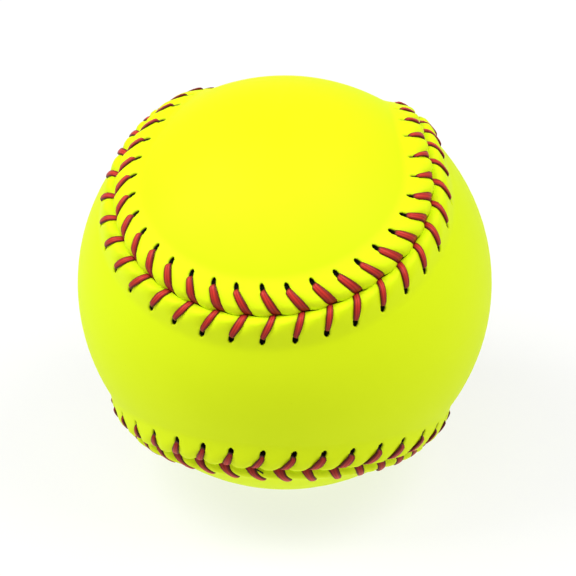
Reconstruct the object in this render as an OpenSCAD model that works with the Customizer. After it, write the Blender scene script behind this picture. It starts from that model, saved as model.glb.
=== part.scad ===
// Softball with a leather cover of two figure-eight panels and a raised two-needle seam.
// The origin is the centre of the ball. The upper panel's lobes lie on +Z and -Z and join
// over +Y. The lower panel's lobes lie on +X and -X and join over -Y.
// The seam is four equal circular arcs, one round each lobe, that meet end to end.

/* [Ball] */
// Radius of the cover where it lies smooth, away from the seam
ball_r = 48.1; // [46:0.1:50]
// Thickness of the cover leather
leather_t = 1.4; // [1.2:0.05:1.8]
// Thickness of the cement film between the core and the cover
cement_t = 0.3; // [0.2:0.05:0.5]

/* [Seam] */
// Width of a panel's waist, from seam to seam along the surface
waist_w = 42.4; // [38:0.2:48]
// Height of the raised seam above the smooth cover
ridge_h = 1.7; // [1.3:0.1:2.2]
// Distance from the seam line to the foot of the raised leather
ridge_reach = 8; // [7:0.5:9]
// Distance from the seam line to the crest of each panel's raised edge
crest_inset = 1.2; // [0.8:0.1:1.5]
// Width and depth of the slope that is turned in along each panel's edge
edge_turn = 0.7; // [0.4:0.1:1]
// Gap between the edges of the two panels
seam_gap = 0.3; // [0.2:0.05:0.5]

/* [Stitches] */
// Number of stitches sewn in each panel
stitches = 84; // [80:4:92]
// Width of the waxed thread, pressed flat where it lies
thread_w = 1.2; // [1:0.05:1.4]
// Thickness of the waxed thread
thread_t = 0.8; // [0.6:0.05:0.9]
// Distance from the seam line to where the thread comes up through its hole
hole_inset = 4.8; // [4.4:0.1:5.4]
// Distance along the seam from a stitch's holes to where it enters the seam
stitch_lean = 2.7; // [2.2:0.1:3.2]
// Distance along the seam between the two legs of a stitch where they enter it
leg_spread = 1.5; // [1.4:0.05:1.8]
// Length of a hole, which the tight thread has pulled open
hole_l = 2.8; // [2.6:0.1:3.2]
// Width of a hole
hole_w = 1.7; // [1.6:0.05:1.9]
// Clearance between the thread and the leather or the film
thread_play = 0.1; // [0.05:0.05:0.15]

/* [Hidden] */
$fn = 96;
// Colours
leather_colour = "#dcee1e";
thread_colour = "#c8323c";
film_colour = "#e6dcbe";
core_colour = "#f2efe6";
// Layers
cover_in_r = ball_r - leather_t;
core_r = cover_in_r - cement_t;
// A cut runs this far past the face that it leaves
overrun = leather_t / 2;
// Half of the space that a cutting block has to cover
block = 2 * ball_r;
// Angle at the centre of the ball for a length on its surface
function spread(length) = length / ball_r * 180 / PI;
// Seam circles: each is tilted from its lobe's axis towards the facing waist, and its
// radius is such that it touches the circles of the two lobes beside it.
waist_half = spread(waist_w / 2);
lobe_tilt = atan((sqrt(1 / 2) - sin(waist_half)) / cos(waist_half));
circle_a = 90 - waist_half - lobe_tilt;
half_arc = 90 + atan(sin(lobe_tilt));
arcs = 4;
per_arc = stitches / arcs;
step_a = 2 * half_arc / per_arc;
// Angle about a seam circle's axis for a length along the seam
function along(length) = spread(length) / sin(circle_a);
// Share of a step by which an arc's first holes follow its start
first_hole_share = 0.1;
// Raised leather: the flat shell stops short of the edge, by more outside a circle than
// inside it, and the strip of raised leather carries on to the edge
shell_stop_in = 2 * seam_gap;
shell_stop_out = 3 * seam_gap;
strip_floor = leather_t / 10;
strip_join = seam_gap / 6;
// Section of the raised leather: a round crown from the crest to the foot
crest_r = ball_r + ridge_h;
foot_cos = cos(spread(ridge_reach - crest_inset));
crown_centre_r = (crest_r * crest_r - ball_r * ball_r) / (2 * (crest_r - ball_r * foot_cos));
crown_section_r = crest_r - crown_centre_r;
// Thread path
crown_r = 2.6 * hole_inset;
under_r = cover_in_r + thread_play + thread_t / 2;
leg_bottom_r = under_r - thread_t / 2 + thread_play / 2;
// Distance from a stitch's leg back to the middle of its open hole
hole_shift = hole_l / 2 - thread_t;
// Cut that rounds the leg's shoulders
shoulder = thread_t * 0.7;

// Height of the raised leather above the smooth cover, by distance from the seam line
function rise(d) =
    let (a = spread(d - crest_inset))
    crown_centre_r * cos(a) + sqrt(pow(crown_section_r, 2) - pow(crown_centre_r * sin(a), 2)) - ball_r;

// Point of a section through a seam circle's axis, side -1 inside the circle and 1 outside
function section_point(side, d, r) =
    r * [sin(circle_a + side * spread(d)), cos(circle_a + side * spread(d))];

module strip_section(side) {
    difference() {
        intersection() {
            translate(section_point(side, crest_inset, crown_centre_r))
                circle(r = crown_section_r);
            polygon([
                [0, 0],
                section_point(side, seam_gap / 2, block),
                section_point(side, ridge_reach + leather_t, block)
            ]);
        }
        circle(r = cover_in_r + strip_floor);
        polygon([
            section_point(side, seam_gap / 2, crest_r - edge_turn),
            section_point(side, -edge_turn, crest_r + overrun),
            section_point(side, seam_gap / 2 + edge_turn + overrun, crest_r + overrun)
        ]);
    }
}

// Turns a section about the axis of the upper lobe's seam circle, as far as its arc goes
module round_the_lobe(short) {
    rotate([lobe_tilt, 0, 0])
        rotate([0, 0, -90 - half_arc + short])
            rotate_extrude(angle = 2 * (half_arc - short))
                children();
}

// Quarter turns about Y, each with a flip of Y, that carry one lobe onto the next
module next_lobe(count) {
    flip = count % 2;
    mirror([0, flip, 0])
        rotate([0, 90 * count, 0])
            children();
}

// Raised leather along one arc, inside its circle (side -1) or outside it (side 1)
module strip(side) {
    round_the_lobe(along(strip_join / 2))
        strip_section(side);
}

// Everything beyond the plane that cuts a sphere of radius r in a circle round the lobe
module lobe_cap(out, r) {
    rotate([lobe_tilt, 0, 0])
        translate([-block, -block, r * cos(circle_a + spread(out))])
            cube([2 * block, 2 * block, block]);
}

// What the flat shell of the upper panel leaves to the lower panel
module other_panel_space() {
    for (n = [1, 3])
        next_lobe(n)
            lobe_cap(shell_stop_out, cover_in_r);
    difference() {
        translate([-block, -block, -block])
            cube([2 * block, block, 2 * block]);
        for (n = [0, 2])
            next_lobe(n)
                lobe_cap(-shell_stop_in, ball_r);
    }
}

module flat_shell() {
    difference() {
        sphere(r = ball_r);
        sphere(r = cover_in_r);
        other_panel_space();
    }
}

// Direction from the centre to a place near the seam: the arc, the angle about its
// circle's axis, and the distance outside its circle along the surface
function carried(v, arc) = arc == 0 ? v : carried([v.z, -v.y, -v.x], arc - 1);
function lobe_direction(a, turn) =
    cos(a) * [0, -sin(lobe_tilt), cos(lobe_tilt)]
    + sin(a) * cos(turn) * [0, -cos(lobe_tilt), -sin(lobe_tilt)]
    + sin(a) * sin(turn) * [1, 0, 0];
function place(arc, turn, out) = carried(lobe_direction(circle_a + spread(out), turn), arc);

// Stitches are counted along the seam. Panel 0 is the upper one and panel 1 the lower.
function arc_of(k) = floor((k % stitches) / per_arc);
function hole_turn(k) = step_a * (k % per_arc + first_hole_share) - half_arc;
function out_sign(k, panel) = (arc_of(k) + panel) % 2 == 0 ? -1 : 1;
function hole_at(k, panel) = place(arc_of(k), hole_turn(k), out_sign(k, panel) * hole_inset);
function dive_turn(k, panel) =
    hole_turn(k) + along(stitch_lean) + (panel == 0 ? 1 : -1) * along(leg_spread / 2);
function dive_at(k, panel) = place(arc_of(k), dive_turn(k, panel), 0);

// Plane through the centre of the ball with X along p and Y towards q
module plane_through(p, q) {
    n = cross(p, q) / norm(cross(p, q));
    y = cross(n, p);
    multmatrix([[p.x, y.x, n.x, 0], [p.y, y.y, n.y, 0], [p.z, y.z, n.z, 0]])
        children();
}

// Open hole behind a stitch's leg, pointed at both ends
module open_hole(hole, dive) {
    side_r = (hole_l * hole_l + hole_w * hole_w) / (4 * hole_w);
    plane_through(hole, dive)
        translate([cover_in_r - overrun, -hole_shift, 0])
            rotate([0, 90, 0])
                linear_extrude(leather_t + ridge_h + 2 * overrun)
                    intersection_for(s = [-1, 1])
                        translate([s * (side_r - hole_w / 2), 0])
                            circle(r = side_r);
}

function ray(angle) = [cos(angle), sin(angle)];
function beside(angle) = [-sin(angle), cos(angle)];

// Side view of a leg: tails along two rays from the centre, and a round crown over the leather
module leg_outline(gamma) {
    half_t = thread_t / 2;
    hole_top = (ball_r + rise(hole_inset) + half_t + thread_play) * ray(0);
    dive_top = (crest_r + half_t + thread_play) * ray(gamma);
    chord = dive_top - hole_top;
    half = norm(chord) / 2;
    inward = [-chord.y, chord.x] / (2 * half);
    middle = (hole_top + dive_top) / 2 + sqrt(crown_r * crown_r - half * half) * inward;
    difference() {
        intersection() {
            translate(middle)
                circle(r = crown_r + half_t);
            polygon([
                leg_bottom_r * ray(0) - half_t * beside(0),
                (norm(hole_top) + half_t - shoulder) * ray(0) - half_t * beside(0),
                (norm(hole_top) + half_t) * ray(0) + (shoulder - half_t) * beside(0),
                (norm(hole_top) + crown_r) * ray(0) + shoulder * beside(0),
                (norm(dive_top) + crown_r) * ray(gamma) - shoulder * beside(gamma),
                (norm(dive_top) + half_t) * ray(gamma) + (half_t - shoulder) * beside(gamma),
                (norm(dive_top) + half_t - shoulder) * ray(gamma) + half_t * beside(gamma),
                leg_bottom_r * ray(gamma) + half_t * beside(gamma)
            ]);
        }
        intersection() {
            translate(middle)
                circle(r = crown_r - half_t);
            polygon([
                (leg_bottom_r - overrun) * ray(0) + half_t * beside(0),
                block * ray(0) + half_t * beside(0),
                block * ray(gamma) - half_t * beside(gamma),
                (leg_bottom_r - overrun) * ray(gamma) - half_t * beside(gamma)
            ]);
        }
    }
}

// Leg of a stitch: up through its hole, over the leather and down into the seam
module leg(hole, dive) {
    gamma = acos(hole * dive);
    plane_through(hole, dive)
        translate([0, 0, -thread_w / 2])
            linear_extrude(thread_w)
                leg_outline(gamma);
}

// Thread under the leather, from where it leaves the seam to the next hole
module under_pass(dive, hole, grow) {
    gamma = acos(dive * hole);
    middle_r = under_r / cos(gamma / 2);
    reach = middle_r * sin(gamma / 2) + thread_t / 4 + grow;
    height = thread_t + 2 * grow;
    plane_through(dive, hole)
        rotate([0, 0, gamma / 2])
            translate([under_r - height / 2, -reach, -thread_w / 2 - grow])
                cube([height, 2 * reach, thread_w + 2 * grow]);
}

// One needle's thread: it crosses from panel to panel at every stitch
module thread(first_panel) {
    for (k = [0:stitches - 1]) {
        panel = (k + first_panel) % 2;
        leg(hole_at(k, panel), dive_at(k, panel));
        if (k < stitches - 1)
            under_pass(dive_at(k, panel), hole_at(k + 1, 1 - panel), 0);
    }
}

// Notch in the panels' edges where both legs of a stitch go down
module seam_notch(k) {
    length = leg_spread + thread_w + 2 * thread_play;
    width = thread_t + 2 * thread_play;
    plane_through(place(arc_of(k), hole_turn(k) + along(stitch_lean), 0), dive_at(k, 0))
        translate([cover_in_r - overrun, -length / 2, -width / 2])
            cube([leather_t + ridge_h + 2 * overrun, length, width]);
}

module cover_panel(panel) {
    difference() {
        union() {
            next_lobe(panel)
                flat_shell();
            for (n = [0, 2])
                next_lobe(panel + n)
                    strip(-1);
            for (n = [1, 3])
                next_lobe(panel + n)
                    strip(1);
        }
        for (k = [0:stitches - 1]) {
            open_hole(hole_at(k, panel), dive_at(k, panel));
            seam_notch(k);
            under_pass(dive_at(k, 1 - panel), hole_at(k + 1, panel), thread_play);
        }
    }
}

module core() {
    color(core_colour)
        sphere(r = core_r);
}

module cement_film() {
    color(film_colour)
        difference() {
            sphere(r = cover_in_r);
            sphere(r = core_r);
        }
}

module upper_cover_panel() {
    color(leather_colour)
        cover_panel(0);
}

module lower_cover_panel() {
    color(leather_colour)
        cover_panel(1);
}

module first_thread() {
    color(thread_colour)
        thread(0);
}

module second_thread() {
    color(thread_colour)
        thread(1);
}

core();
cement_film();
upper_cover_panel();
lower_cover_panel();
first_thread();
second_thread();
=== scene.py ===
import math

import bmesh
import bpy
import numpy as np
from mathutils import Matrix, Vector


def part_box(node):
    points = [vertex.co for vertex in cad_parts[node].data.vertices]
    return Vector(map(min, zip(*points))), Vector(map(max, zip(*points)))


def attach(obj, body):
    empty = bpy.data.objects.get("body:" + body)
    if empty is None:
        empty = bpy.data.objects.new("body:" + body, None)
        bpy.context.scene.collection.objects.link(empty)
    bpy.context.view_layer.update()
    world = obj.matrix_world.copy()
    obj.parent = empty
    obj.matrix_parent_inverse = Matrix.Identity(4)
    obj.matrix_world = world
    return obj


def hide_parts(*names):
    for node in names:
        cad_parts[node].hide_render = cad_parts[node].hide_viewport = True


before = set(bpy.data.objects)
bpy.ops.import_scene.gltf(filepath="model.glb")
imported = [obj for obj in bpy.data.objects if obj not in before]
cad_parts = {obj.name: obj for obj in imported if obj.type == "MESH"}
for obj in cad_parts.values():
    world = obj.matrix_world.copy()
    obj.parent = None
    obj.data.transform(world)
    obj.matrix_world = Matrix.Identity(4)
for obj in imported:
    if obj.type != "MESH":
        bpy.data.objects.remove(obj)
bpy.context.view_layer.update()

# Sizes of the ball, in metres
mm = 0.001
ball_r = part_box("upper_cover_panel")[1][2]
film_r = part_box("cement_film")[1][2]
stitches = 84
waist_w = 42.4 * mm
ridge_h = 1.75 * mm
ridge_foot = 8.6 * mm
crest_inset = 2.0 * mm
seam_gap = 0.05 * mm
groove_depth = 1.5 * mm
hole_inset = 4.9 * mm
stitch_lean = 2.65 * mm
leg_spread = 0.9 * mm
first_hole_share = 0.1

# Seam of four equal arcs, one round each lobe, which touch where they meet
waist_half = waist_w / 2 / ball_r
lobe_tilt = math.atan((math.sqrt(0.5) - math.sin(waist_half)) / math.cos(waist_half))
circle_a = math.pi / 2 - waist_half - lobe_tilt
half_arc = math.pi / 2 + math.atan(math.sin(lobe_tilt))
arcs = 4
per_arc = stitches / arcs
step_a = 2 * half_arc / per_arc
pitch = step_a * math.sin(circle_a) * ball_r


def soft_step(low, high, x):
    t = np.clip((x - low) / (high - low), 0, 1)
    return t * t * (3 - 2 * t)


def unit(vectors):
    return vectors / np.linalg.norm(vectors, axis=1)[:, None]


def arc_at(u, panel):
    """Arc of the seam at u stitches, the turn along it and the side that the panel lies on."""
    u = np.mod(u, stitches)
    arc = np.minimum(np.floor(u / per_arc), arcs - 1).astype(int)
    turn = step_a * (u - arc * per_arc) - half_arc
    sign = np.where((arc + panel) % 2 == 0, -1, 1)
    return arc, turn, sign


def spine_distance(turn, sign):
    """Distance from the seam to the middle line of a panel, along the surface."""
    waist = np.arctan2(1, np.cos(turn) * math.tan(lobe_tilt)) - circle_a
    return ball_r * np.where(sign < 0, circle_a, waist)


def seam_place(u, off, panel):
    """Directions of the places off the seam in one panel, u stitches along it."""
    arc, turn, sign = arc_at(u, panel)
    a = circle_a + sign * off / ball_r
    place = np.stack(
        [
            np.sin(a) * np.sin(turn),
            -np.cos(a) * math.sin(lobe_tilt) - np.sin(a) * np.cos(turn) * math.cos(lobe_tilt),
            np.cos(a) * math.cos(lobe_tilt) - np.sin(a) * np.cos(turn) * math.sin(lobe_tilt),
        ],
        axis=-1,
    )
    for count in range(1, arcs):
        turned = np.stack([place[..., 2], -place[..., 1], -place[..., 0]], axis=-1)
        place = np.where((arc >= count)[..., None], turned, place)
    return place


# Hand work: each hole and each leg differs a little from the next
along_play = 0.22 * mm
across_play = 0.15 * mm
width_play_share = 0.10
hand = np.random.default_rng(12).uniform(-1, 1, (3, 2, stitches))
hole_along = hand[0] * along_play
hole_across = hand[1] * across_play
leg_width_share = 1 + width_play_share * hand[2]

# Panel, first stitch, last stitch and pull of the legs pulled tight or left slack
pulls = (
    (0, 19, 32, 1.0),
    (1, 19, 32, 1.0),
    (1, 45, 51, -1.6),
    (1, 56, 62, 0.8),
)
pull_blend = 2


def pulled(k, panel):
    """How much tighter a leg was pulled than the rest, below 0 where it was left slack."""
    total = 0 * k
    for pulled_panel, first, last, pull in pulls:
        begun = soft_step(first - pull_blend, first + pull_blend, k)
        ended = soft_step(last - pull_blend, last + pull_blend, k)
        total = total + (panel == pulled_panel) * pull * begun * (1 - ended)
    return total


# Columns of the leather lean with the legs, and stand square to the seam past near_stop
past_hole_share = 0.35
lean_stop = 7.0 * mm
near_stop = 10.0 * mm
by_hand_from = (1.5 * mm, 4.6 * mm)


def lean_of(panel):
    """Stitches by which a panel's legs lean along the seam between hole and edge."""
    ahead = np.where(panel == 0, 1, -1)
    return (stitch_lean + ahead * leg_spread / 2) / pitch


def leg_slide(off, panel, k, share=1.0):
    """Stitches by which a place off the seam moves along it, as the leg there leans."""
    level = 1 - soft_step(lean_stop, near_stop, off)
    to_seam = np.clip(1 - off / hole_inset, 0, 1)
    past = np.clip(off / hole_inset - 1, 0, None) * level
    by_hand = hole_along[panel, k] * soft_step(*by_hand_from, off) * level
    return lean_of(panel) * (to_seam - past_hole_share * past) + share * by_hand / pitch


def crown(off):
    """Height of the raised leather, which rolls down into the seam."""
    t = np.clip((off - crest_inset) / (ridge_foot - crest_inset), 0, 1)
    roll = np.clip((crest_inset - off) / crest_inset, 0, 1)
    return ridge_h * (1 - t * t) ** 2 - groove_depth * roll**2


# Leather pressed down under each leg and swollen between two legs
press_depth = 0.5 * mm
pillow_h = 0.85 * mm
valley_half = 0.45 * mm
pillow_half = 0.6 * mm
press_begins = (-2.4 * mm, 1.0 * mm)
press_ends = (1.0 * mm, 6.2 * mm)


def pressed(x, off):
    """How far the leather rises or sinks, with a leg at x = 0 and one at each pitch."""
    reach = soft_step(*press_begins, off) * (1 - soft_step(*press_ends, off))
    from_leg = np.abs(x - pitch * np.rint(x / pitch))
    wave = soft_step(valley_half, pitch / 2 - pillow_half, from_leg)
    return reach * (pillow_h * wave - press_depth)


notch_depth = 0.12 * mm
notch_half = 1.3 * mm
notch_reach = 2.2 * mm


def notched(x, off):
    """Distance from the seam once the edge is drawn back where a leg goes down."""
    fade = np.clip(1 - off / notch_reach, 0, 1) ** 2
    return off + notch_depth * np.exp(-((x / notch_half) ** 4)) * fade


# Stitch holes, with the half length and half width for the upper and the lower panel
hole_middle = 5.75 * mm
hole_half_l = (1.08 * mm, 1.06 * mm)
hole_half_w = (0.67 * mm, 0.58 * mm)
hole_depth = 1.35 * mm
hole_taper_share = 0.12
hole_rim_shares = (0.62, 1.12)
shut_width_share = 0.5
shut_depth_share = 0.65


def hole_share(x, off, panel, k):
    """1 in the bottom of a stitch hole, 0 outside it, and less where it was pulled shut."""
    tight = np.maximum(pulled(k, panel), 0)
    along = (off - hole_middle) / hole_half_l[panel]
    taper = 1 - hole_taper_share * np.clip(along, -1, 1)
    half_w = hole_half_w[panel] * taper * (1 - shut_width_share * tight)
    inside = 1 - soft_step(*hole_rim_shares, np.hypot(x / half_w, along))
    return inside * (1 - shut_depth_share * tight)


sag = 0.4 * mm
sag_reach = 3.6 * mm


def seam_sag(u, x, off, panel):
    """How far the seam line hangs over towards this panel's side between two stitches."""
    step = 0.1 * mm
    seam = seam_place(u, 0 * off, panel)
    beside = seam_place(u, 0 * off + step, panel)
    down = (seam - beside)[..., 2] * ball_r / step
    fade = np.clip(1 - off / sag_reach, 0, 1) ** 2
    return sag * down * np.abs(np.sin(math.pi * x / pitch)) * fade


weld = 0.002 * mm


def lattice(name, columns, rows, form):
    """Bends a flat grid to the places that form gives, with its UV map and attributes."""
    mesh = bpy.data.meshes.new(name)
    bm = bmesh.new()
    bmesh.ops.create_grid(bm, x_segments=columns, y_segments=rows, size=0.5)
    bm.to_mesh(mesh)
    count = len(mesh.vertices)
    flat = np.empty(count * 3)
    mesh.vertices.foreach_get("co", flat)
    flat = flat.reshape(count, 3)
    low, high = flat.min(axis=0), flat.max(axis=0)
    column = np.rint((flat[:, 0] - low[0]) / (high[0] - low[0]) * columns).astype(int)
    row = np.rint((flat[:, 1] - low[1]) / (high[1] - low[1]) * rows).astype(int)
    places, uv, values = form(column, row)
    mesh.vertices.foreach_set("co", places.ravel())
    corner = np.empty(len(mesh.loops), dtype=int)
    mesh.loops.foreach_get("vertex_index", corner)
    mesh.uv_layers.new(name="UVMap").data.foreach_set("uv", uv[corner].ravel())
    for key, value in values.items():
        mesh.attributes.new(key, "FLOAT", "POINT").data.foreach_set("value", value)
    bm.clear()
    bm.from_mesh(mesh)
    bmesh.ops.remove_doubles(bm, verts=bm.verts, dist=weld)
    bmesh.ops.dissolve_degenerate(bm, edges=bm.edges, dist=weld)
    bmesh.ops.recalc_face_normals(bm, faces=bm.faces)
    for face in bm.faces:
        face.smooth = True
    bm.to_mesh(mesh)
    bm.free()
    made = bpy.data.objects.new(name, mesh)
    bpy.context.scene.collection.objects.link(made)
    return made


# Grid of a panel, whose columns are drawn together at the legs
columns_per_stitch = 16
leg_column_share = 0.5

# Rows near the seam inside, then outside with the start, stop, count and crowding
seam_edge = seam_gap / 2
inner_near_rows = (near_stop, 6 * mm, 3 * mm, 1 * mm, seam_edge)
outer_near_rows = (
    (seam_edge, 2.0 * mm, 10, 1.4),
    (2.4 * mm, 4.0 * mm, 5, 1.0),
    (4.3 * mm, 7.1 * mm, 15, 1.0),
    (7.5 * mm, near_stop, 5, 1.0),
)

# Rows that share out the way from near_stop to the middle line of the panel
inner_far_rows = 8
outer_far_rows = 10


def graded(start, stop, count, power=1.0):
    t = np.linspace(0, 1, count)
    return start + (stop - start) * t**power


def panel_rows():
    """Distance from the seam, share of the far way and layer of each row of a section.

    The rows run along the inner face to the seam, up the edge and back along the outer
    face, so the layer is 0 inside and 1 outside.
    """
    near_in = np.array(inner_near_rows)
    near_out = np.concatenate([graded(*stretch) for stretch in outer_near_rows])
    far_in = np.full(inner_far_rows, near_stop)
    far_out = np.full(outer_far_rows, near_stop)
    off = np.concatenate([far_in, near_in, [seam_edge], near_out, far_out])
    share_in = graded(1, 0, inner_far_rows + 1)[:-1]
    share_near = np.zeros(len(near_in) + 1 + len(near_out))
    share_out = graded(0, 1, outer_far_rows + 1)[1:]
    share = np.concatenate([share_in, share_near, share_out])
    inside = np.zeros(len(far_in) + len(near_in))
    outside = np.ones(len(near_out) + len(far_out))
    layer = np.concatenate([inside, [0.5], outside])
    return off, share, layer


def cover_panel(name, panel):
    off_of, share_of, layer_of = panel_rows()

    def form(column, row):
        stitch = column // columns_per_stitch
        k = stitch % stitches
        phase = (column % columns_per_stitch) / columns_per_stitch - 0.5
        drawn = phase * (leg_column_share + (1 - leg_column_share) * (2 * phase) ** 2)
        u = stitch + drawn + first_hole_share
        x = drawn * pitch
        _, turn, sign = arc_at(u, panel)
        far = spine_distance(turn, sign) - near_stop
        off = notched(x, off_of[row] + share_of[row] * far)
        slide = leg_slide(off, panel, k, 1 - (2 * phase) ** 2)
        sunk = hole_share(x, off - hole_across[panel, k], panel, k) * hole_depth
        r_out = ball_r + crown(off) + pressed(x, off) - sunk
        layer = layer_of[row]
        r = film_r + (r_out - film_r) * layer
        hung = off + seam_sag(u + slide, x, off, panel)
        places = seam_place(u + slide, hung, panel) * r[:, None]
        uv = np.stack([(u + slide) * pitch / mm, off / mm], axis=-1)
        # Share of painted shade: the outer face darkens with the depth of a stitch hole, and
        # the inner face and the seam edge are painted fully dark as shade.
        painted_shade = np.where(layer == 1, sunk / mm, 1.0)
        return places, uv, {"painted_shade": painted_shade}

    return lattice(name, stitches * columns_per_stitch, len(off_of) - 1, form)


# Stations of a leg from the hole to the seam: distance from the seam, height over the
# leather, two widths and two shares of painted shade, for the upper and for the lower panel
# The painted shade is full inside the hole and down in the seam. Between them it darkens the
# upper legs towards the seam and the lower legs towards the hole, as if lit from above.
leg_stations = [
    (5.35 * mm, -1.30 * mm, 0.90 * mm, 0.85 * mm, 1.00, 1.00),
    (5.33 * mm, -0.60 * mm, 0.95 * mm, 0.90 * mm, 1.00, 1.00),
    (5.20 * mm, -0.10 * mm, 1.38 * mm, 1.15 * mm, 0.40, 0.50),
    (4.85 * mm, 0.16 * mm, 1.62 * mm, 1.34 * mm, 0.00, 0.40),
    (4.30 * mm, 0.22 * mm, 1.80 * mm, 1.52 * mm, 0.00, 0.36),
    (3.50 * mm, 0.24 * mm, 1.95 * mm, 1.68 * mm, 0.04, 0.25),
    (2.70 * mm, 0.24 * mm, 2.05 * mm, 1.76 * mm, 0.14, 0.12),
    (1.90 * mm, 0.23 * mm, 2.22 * mm, 1.76 * mm, 0.26, 0.02),
    (1.15 * mm, 0.21 * mm, 2.48 * mm, 1.75 * mm, 0.36, 0.00),
    (0.65 * mm, 0.17 * mm, 2.75 * mm, 1.72 * mm, 0.40, 0.00),
    (0.28 * mm, 0.05 * mm, 2.85 * mm, 1.68 * mm, 0.45, 0.10),
    (0.05 * mm, -0.25 * mm, 2.70 * mm, 1.60 * mm, 0.70, 0.60),
    (0.02 * mm, -1.00 * mm, 2.00 * mm, 1.50 * mm, 1.00, 1.00),
]
thread_t = 0.78 * mm
thread_sides = 12
flat_power = 0.9
map_per_leg = 7.0
seat_from = 0.3 * mm

# Stretches off the seam over which a leg takes up its hand work, its pull and its slack
across_from = (2.5 * mm, 5.0 * mm)
narrow_from = (1.0 * mm, 4.0 * mm)
narrow_share = 0.35
lift_from = (0.5 * mm, 1.5 * mm)
slack_lift = 0.12 * mm

# Stretch over which its width turns from along the seam to square across the leg
width_turn = (0.2 * mm, 3.5 * mm)


def squared_off(wave):
    """A wave with slightly flatter tops, for the section of a pressed thread."""
    return np.sign(wave) * np.abs(wave) ** flat_power


def thread(name, first_panel):
    legs = np.array(leg_stations)
    per_leg = len(legs)
    total = stitches * per_leg

    def form(column, row):
        inner = np.clip(column - 1, 0, total - 1)
        k = inner // per_leg
        panel = (k + first_panel) % 2
        upper = panel == 0
        off, lift, wide_upper, wide_lower, painted_shade_upper, painted_shade_lower = legs[inner % per_leg].T
        off = off + hole_across[panel, k] * soft_step(*across_from, off)
        pull = pulled(k, panel)
        width = np.where(upper, wide_upper, wide_lower) * leg_width_share[panel, k]
        width = width * (1 - narrow_share * pull * soft_step(*narrow_from, off))
        slack = np.maximum(-pull, 0) * soft_step(*lift_from, off)
        # Share of painted shade at each station, from the upper or the lower panel's column.
        painted_shade = np.where(upper, painted_shade_upper, painted_shade_lower)
        u = k + first_hole_share + leg_slide(off, panel, k)
        leather = crown(np.maximum(off, seat_from)) + pressed(0, off)
        r = ball_r + leather + lift + slack_lift * slack

        # Directions along and across the seam, and the one in which the leg is wide
        step = 0.02
        middle = seam_place(u, off, panel)
        along = unit(seam_place(u + step, off, panel) - middle)
        across = unit(seam_place(u, off + step * mm, panel) - middle)
        run = unit(across * hole_inset - along * (lean_of(panel) * pitch)[:, None])
        side = np.cross(middle, run)
        side *= np.where((side * along).sum(axis=1) < 0, -1.0, 1.0)[:, None]
        near_seam = (1 - soft_step(*width_turn, off))[:, None]
        wide = unit(side * (1 - near_seam) + along * near_seam)

        ring_a = 2 * math.pi * row / thread_sides
        flat_x = squared_off(np.cos(ring_a))
        flat_z = squared_off(np.sin(ring_a))
        body = (column > 0) & (column <= total)
        half_w = width / 2 * body
        half_t = thread_t / 2 * body
        places = middle * (r + half_t * flat_z)[:, None] + wide * (half_w * flat_x)[:, None]
        uv = np.stack([k * map_per_leg + (hole_inset - off) / mm, flat_x], axis=-1)
        return places, uv, {"painted_shade": painted_shade}

    return lattice(name, total + 1, thread_sides, form)


# End of a thread that sticks out of the lower seam: its start, run and leg in stitches
loose_at = 52.42
loose_run = 0.36
loose_leg = 0.17
loose_step_share = 0.01
loose_way_shares = (0, 0.4, 0.65, 1)
loose_off = (0.3 * mm, 0.3 * mm, 0.35 * mm, 0.65 * mm)
loose_lift = 0.35 * mm
loose_t = 0.4 * mm
loose_columns = 12
loose_sides = 8


def loose_end(name):
    def spot(t):
        u = loose_at - loose_run * t
        off = np.interp(t, loose_way_shares, loose_off)
        x = (u - loose_at - loose_leg) * pitch
        r = ball_r + crown(off) + pressed(x, off) + loose_lift
        return seam_place(u, off, 0) * r[:, None]

    def form(column, row):
        t = np.clip(column - 1, 0, loose_columns - 2) / (loose_columns - 2)
        middle = spot(t)
        out = unit(middle)
        side = unit(np.cross(spot(t + loose_step_share) - middle, out))
        ring_a = 2 * math.pi * row / loose_sides
        half = loose_t / 2 * ((column > 0) & (column < loose_columns))
        sideways = side * (half * np.cos(ring_a))[:, None]
        outwards = out * (half * np.sin(ring_a))[:, None]
        uv = np.stack([t, np.cos(ring_a)], axis=-1)
        # The whole end gets the full painted shade share, so it is painted near-black all
        # along.
        return middle + sideways + outwards, uv, {"painted_shade": np.ones(len(t))}

    return lattice(name, loose_columns, loose_sides, form)


# Nodes of a finish
def finish_of(name, colour, roughness, specular):
    material = bpy.data.materials.new(name)
    material.use_nodes = True
    tree = material.node_tree
    shader = tree.nodes["Principled BSDF"]
    shader.inputs["Base Color"].default_value = (*colour, 1)
    shader.inputs["Roughness"].default_value = roughness
    shader.inputs["Specular IOR Level"].default_value = specular
    return material, tree


def node(tree, kind, **settings):
    made = tree.nodes.new(kind)
    for key, value in settings.items():
        if key in made.inputs:
            made.inputs[key].default_value = value
        else:
            setattr(made, key, value)
    return made


def texture(tree, kind, **settings):
    """A texture in the object's own coordinates."""
    made = node(tree, kind, **settings)
    place = node(tree, "ShaderNodeTexCoord")
    tree.links.new(place.outputs["Object"], made.inputs["Vector"])
    return made


def painted_shade_share(tree):
    """The attribute that gives the share of painted shade at a place: in the stitch holes and
    on the inner face and seam edge of the leather, and along the legs of the thread.
    """
    return node(tree, "ShaderNodeAttribute", attribute_name="painted_shade").outputs["Fac"]


def calculated(tree, operation, *values):
    """One step of a sum, on values that are numbers or outputs."""
    made = node(tree, "ShaderNodeMath", operation=operation)
    for place, value in enumerate(values):
        if isinstance(value, float):
            made.inputs[place].default_value = value
        else:
            tree.links.new(value, made.inputs[place])
    return made.outputs["Value"]


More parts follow.
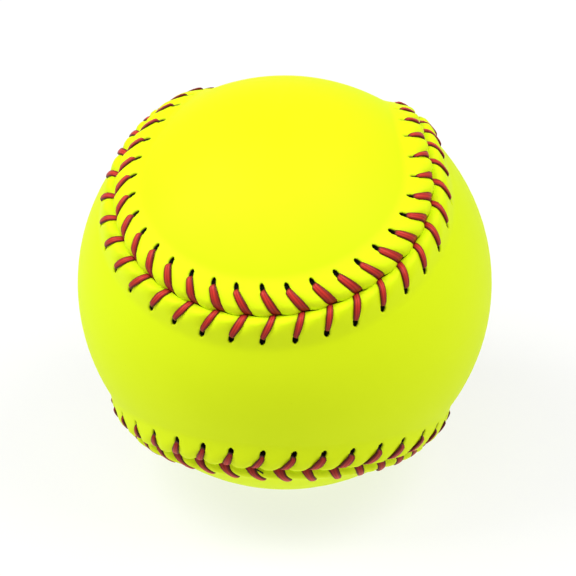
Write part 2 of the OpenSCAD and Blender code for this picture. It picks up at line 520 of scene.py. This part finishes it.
def spread(tree, value, low, high, interpolation="LINEAR"):
    """A value's share of the way from low to high."""
    made = node(tree, "ShaderNodeMapRange", interpolation_type=interpolation)
    made.inputs["From Min"].default_value = low
    made.inputs["From Max"].default_value = high
    tree.links.new(value, made.inputs["Value"])
    return made.outputs["Result"]


def mixed(tree, factor, first, second):
    """A mix of two colours, the first of which may be an output."""
    made = node(tree, "ShaderNodeMix", data_type="RGBA")
    tree.links.new(factor, made.inputs["Factor"])
    if isinstance(first, tuple):
        made.inputs["A"].default_value = (*first, 1)
    else:
        tree.links.new(first, made.inputs["A"])
    made.inputs["B"].default_value = (*second, 1)
    return made.outputs["Result"]


def paint(tree, colour, height, strength, distance):
    """Gives the surface its colour, and bumps that follow a height."""
    shader = tree.nodes["Principled BSDF"]
    bump = node(tree, "ShaderNodeBump", Strength=strength, Distance=distance)
    tree.links.new(height, bump.inputs["Height"])
    tree.links.new(bump.outputs["Normal"], shader.inputs["Normal"])
    tree.links.new(colour, shader.inputs["Base Color"])


def leather_finish():
    material, tree = finish_of(
        "optic_yellow_leather", colour=(0.79, 0.97, 0.008), roughness=0.6, specular=0.1
    )
    patches = texture(tree, "ShaderNodeTexNoise", Scale=60.0, Detail=3.0).outputs["Fac"]
    tone = mixed(tree, patches, (0.77, 0.955, 0.004), (0.81, 0.985, 0.008))
    # Painted shade: the leather turns near-black in the stitch holes and at the seam edge.
    shade_mask = spread(tree, painted_shade_share(tree), low=0.12, high=0.55)
    colour = mixed(tree, shade_mask, tone, (0.006, 0.006, 0.003))
    grain = texture(tree, "ShaderNodeTexVoronoi", Scale=1500.0).outputs["Distance"]
    fine = texture(tree, "ShaderNodeTexNoise", Scale=900.0, Detail=4.0).outputs["Fac"]
    height = calculated(tree, "ADD", grain, fine)
    paint(tree, colour, height, strength=0.12, distance=0.05 * mm)
    return material


# Strands: how far they cross the thread in a millimetre, how many cross it, how round
strand_twist = 0.07
strand_waves = 1.5
strand_power = 0.5


def thread_finish():
    material, tree = finish_of(
        "waxed_red_thread", colour=(0.66, 0.040, 0.021), roughness=0.45, specular=0.2
    )
    parts = node(tree, "ShaderNodeSeparateXYZ")
    tree.links.new(node(tree, "ShaderNodeUVMap").outputs["UV"], parts.inputs["Vector"])
    along, across = parts.outputs["X"], parts.outputs["Y"]
    twist = calculated(tree, "MULTIPLY_ADD", along, strand_twist, across)
    turn = calculated(tree, "MULTIPLY", twist, strand_waves * math.pi)
    wave = calculated(tree, "ABSOLUTE", calculated(tree, "COSINE", turn))
    strand = calculated(tree, "POWER", wave, strand_power)
    # Strands painted darker in the grooves between them and lighter on their tops: painted
    # shade and painted highlight.
    tone = mixed(tree, strand, (0.30, 0.012, 0.009), (0.67, 0.038, 0.021))
    # Painted shade: the thread darkens towards both its edges, where it rolls down to the
    # leather.
    to_edge = calculated(tree, "ABSOLUTE", across)
    edge = spread(tree, to_edge, low=0.28, high=1.0, interpolation="SMOOTHSTEP")
    edge_shaded = mixed(tree, edge, tone, (0.09, 0.003, 0.002))
    # Painted shade: the thread turns near-black inside the holes and in the seam, and darker
    # along the legs.
    colour = mixed(tree, painted_shade_share(tree), edge_shaded, (0.012, 0.003, 0.002))
    paint(tree, colour, strand, strength=0.5, distance=0.1 * mm)
    return material


def foam_finish():
    material, tree = finish_of(
        "moulded_foam", colour=(0.84, 0.81, 0.72), roughness=0.8, specular=0.3
    )
    cells = texture(tree, "ShaderNodeTexVoronoi", Scale=700.0).outputs["Distance"]
    colour = mixed(tree, cells, (0.76, 0.72, 0.62), (0.88, 0.86, 0.79))
    paint(tree, colour, cells, strength=0.3, distance=0.1 * mm)
    return material


def cement_finish():
    material, tree = finish_of(
        "cured_cement", colour=(0.75, 0.68, 0.48), roughness=0.6, specular=0.4
    )
    noise = texture(tree, "ShaderNodeTexNoise", Scale=180.0, Detail=5.0, Distortion=1.5)
    smears = noise.outputs["Fac"]
    colour = mixed(tree, smears, (0.60, 0.52, 0.34), (0.84, 0.79, 0.62))
    paint(tree, colour, smears, strength=0.4, distance=0.15 * mm)
    return material


def give(piece, material, slot, *replaced):
    piece.data.materials.append(material)
    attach(piece, "root")
    if replaced:
        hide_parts(*replaced)


def direction(azimuth, elevation):
    """Direction from the ball to a thing round it, from its angles in degrees."""
    turn, rise = math.radians(azimuth), math.radians(elevation)
    level = math.cos(rise)
    return Vector((math.sin(turn) * level, -math.cos(turn) * level, math.sin(rise)))


# Camera at the photograph's place, with its angles in degrees
camera_azimuth = 11.34
camera_elevation = 33.89
camera_roll = -1.60
camera_distance = 16.6 * ball_r
camera_lens = 214.5
camera_shift = (0.0057, -0.0097)


def set_camera():
    back = direction(camera_azimuth, camera_elevation)
    camera = bpy.data.objects.new("camera", bpy.data.cameras.new("camera"))
    bpy.context.scene.collection.objects.link(camera)
    camera.data.sensor_width = 36
    camera.data.lens = camera_lens
    camera.data.shift_x, camera.data.shift_y = camera_shift
    camera.data.clip_start = 0.01
    camera.data.clip_end = 50
    place = Matrix.Translation(back * camera_distance)
    look = (-back).to_track_quat("-Z", "Y").to_matrix().to_4x4()
    roll = Matrix.Rotation(math.radians(camera_roll), 4, "Z")
    camera.matrix_world = place @ look @ roll
    bpy.context.scene.camera = camera


# White surroundings light the ball at this level, and show as full white behind it
fill_level = 0.12


def seen_rays(tree):
    """1 for the rays that show the background, 0 for those that light the ball."""
    ray = node(tree, "ShaderNodeLightPath")
    total = ray.outputs["Is Camera Ray"]
    for kind in ("Is Glossy Ray", "Is Transmission Ray"):
        total = calculated(tree, "MAXIMUM", total, ray.outputs[kind])
    return total


def set_surroundings():
    bpy.context.scene.view_settings.view_transform = "Standard"
    world = bpy.data.worlds.new("studio")
    bpy.context.scene.world = world
    world.use_nodes = True
    tree = world.node_tree
    background = tree.nodes["Background"]
    background.inputs["Color"].default_value = (1, 1, 1, 1)
    level = node(tree, "ShaderNodeMapRange")
    level.inputs["To Min"].default_value = fill_level
    level.inputs["To Max"].default_value = 1.0
    tree.links.new(seen_rays(tree), level.inputs["Value"])
    tree.links.new(level.outputs["Result"], background.inputs["Strength"])


# Softboxes: name, azimuth, elevation and about the brightness they give a white face
softboxes = (
    ("left_softbox", -77, 52, 0.75),
    ("right_softbox", 90, 54, 0.60),
    ("front_softbox", 0, 69, 0.26),
)
lamp_distance = 1.3
lamp_side = 0.8


def set_lights():
    for name, azimuth, elevation, level in softboxes:
        place = lamp_distance * direction(azimuth, elevation)
        lamp = bpy.data.lights.new(name, "AREA")
        lamp.size = lamp_side
        lamp.energy = level * (math.pi * lamp_distance) ** 2
        made = bpy.data.objects.new(name, lamp)
        made.location = place
        made.rotation_euler = (-place).to_track_quat("-Z", "Y").to_euler()
        bpy.context.scene.collection.objects.link(made)


# Floor that is mostly white by itself, so that only a soft shadow shows on it
floor_r = 0.9
floor_glow_share = 0.7


def set_floor():
    mesh = bpy.data.meshes.new("floor")
    bm = bmesh.new()
    bmesh.ops.create_circle(bm, cap_ends=True, segments=64, radius=floor_r)
    bmesh.ops.translate(bm, verts=bm.verts, vec=(0, 0, -ball_r))
    bm.to_mesh(mesh)
    bm.free()
    floor = bpy.data.objects.new("floor", mesh)
    bpy.context.scene.collection.objects.link(floor)
    material, tree = finish_of(
        "white_floor", colour=(0.95, 0.95, 0.95), roughness=0.9, specular=0.1
    )
    paper = tree.nodes["Principled BSDF"]
    glow = node(tree, "ShaderNodeEmission", Strength=1.0)
    both = node(tree, "ShaderNodeMixShader", Fac=floor_glow_share)
    tree.links.new(paper.outputs["BSDF"], both.inputs[1])
    tree.links.new(glow.outputs["Emission"], both.inputs[2])
    tree.links.new(both.outputs["Shader"], tree.nodes["Material Output"].inputs["Surface"])
    mesh.materials.append(material)


set_camera()
leather = leather_finish()
red_thread = thread_finish()
give(cover_panel("upper_leather", 0), leather, "cover_leather", "upper_cover_panel")
give(cover_panel("lower_leather", 1), leather, "cover_leather", "lower_cover_panel")
give(thread("first_needle_thread", 0), red_thread, "waxed_thread", "first_thread")
give(thread("second_needle_thread", 1), red_thread, "waxed_thread", "second_thread")
give(loose_end("loose_thread_end"), red_thread, "waxed_thread")
for name, material in (("core", foam_finish()), ("cement_film", cement_finish())):
    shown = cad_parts[name]
    shown.data.materials.clear()
    shown.data.materials.append(material)
set_floor()
set_surroundings()
set_lights()
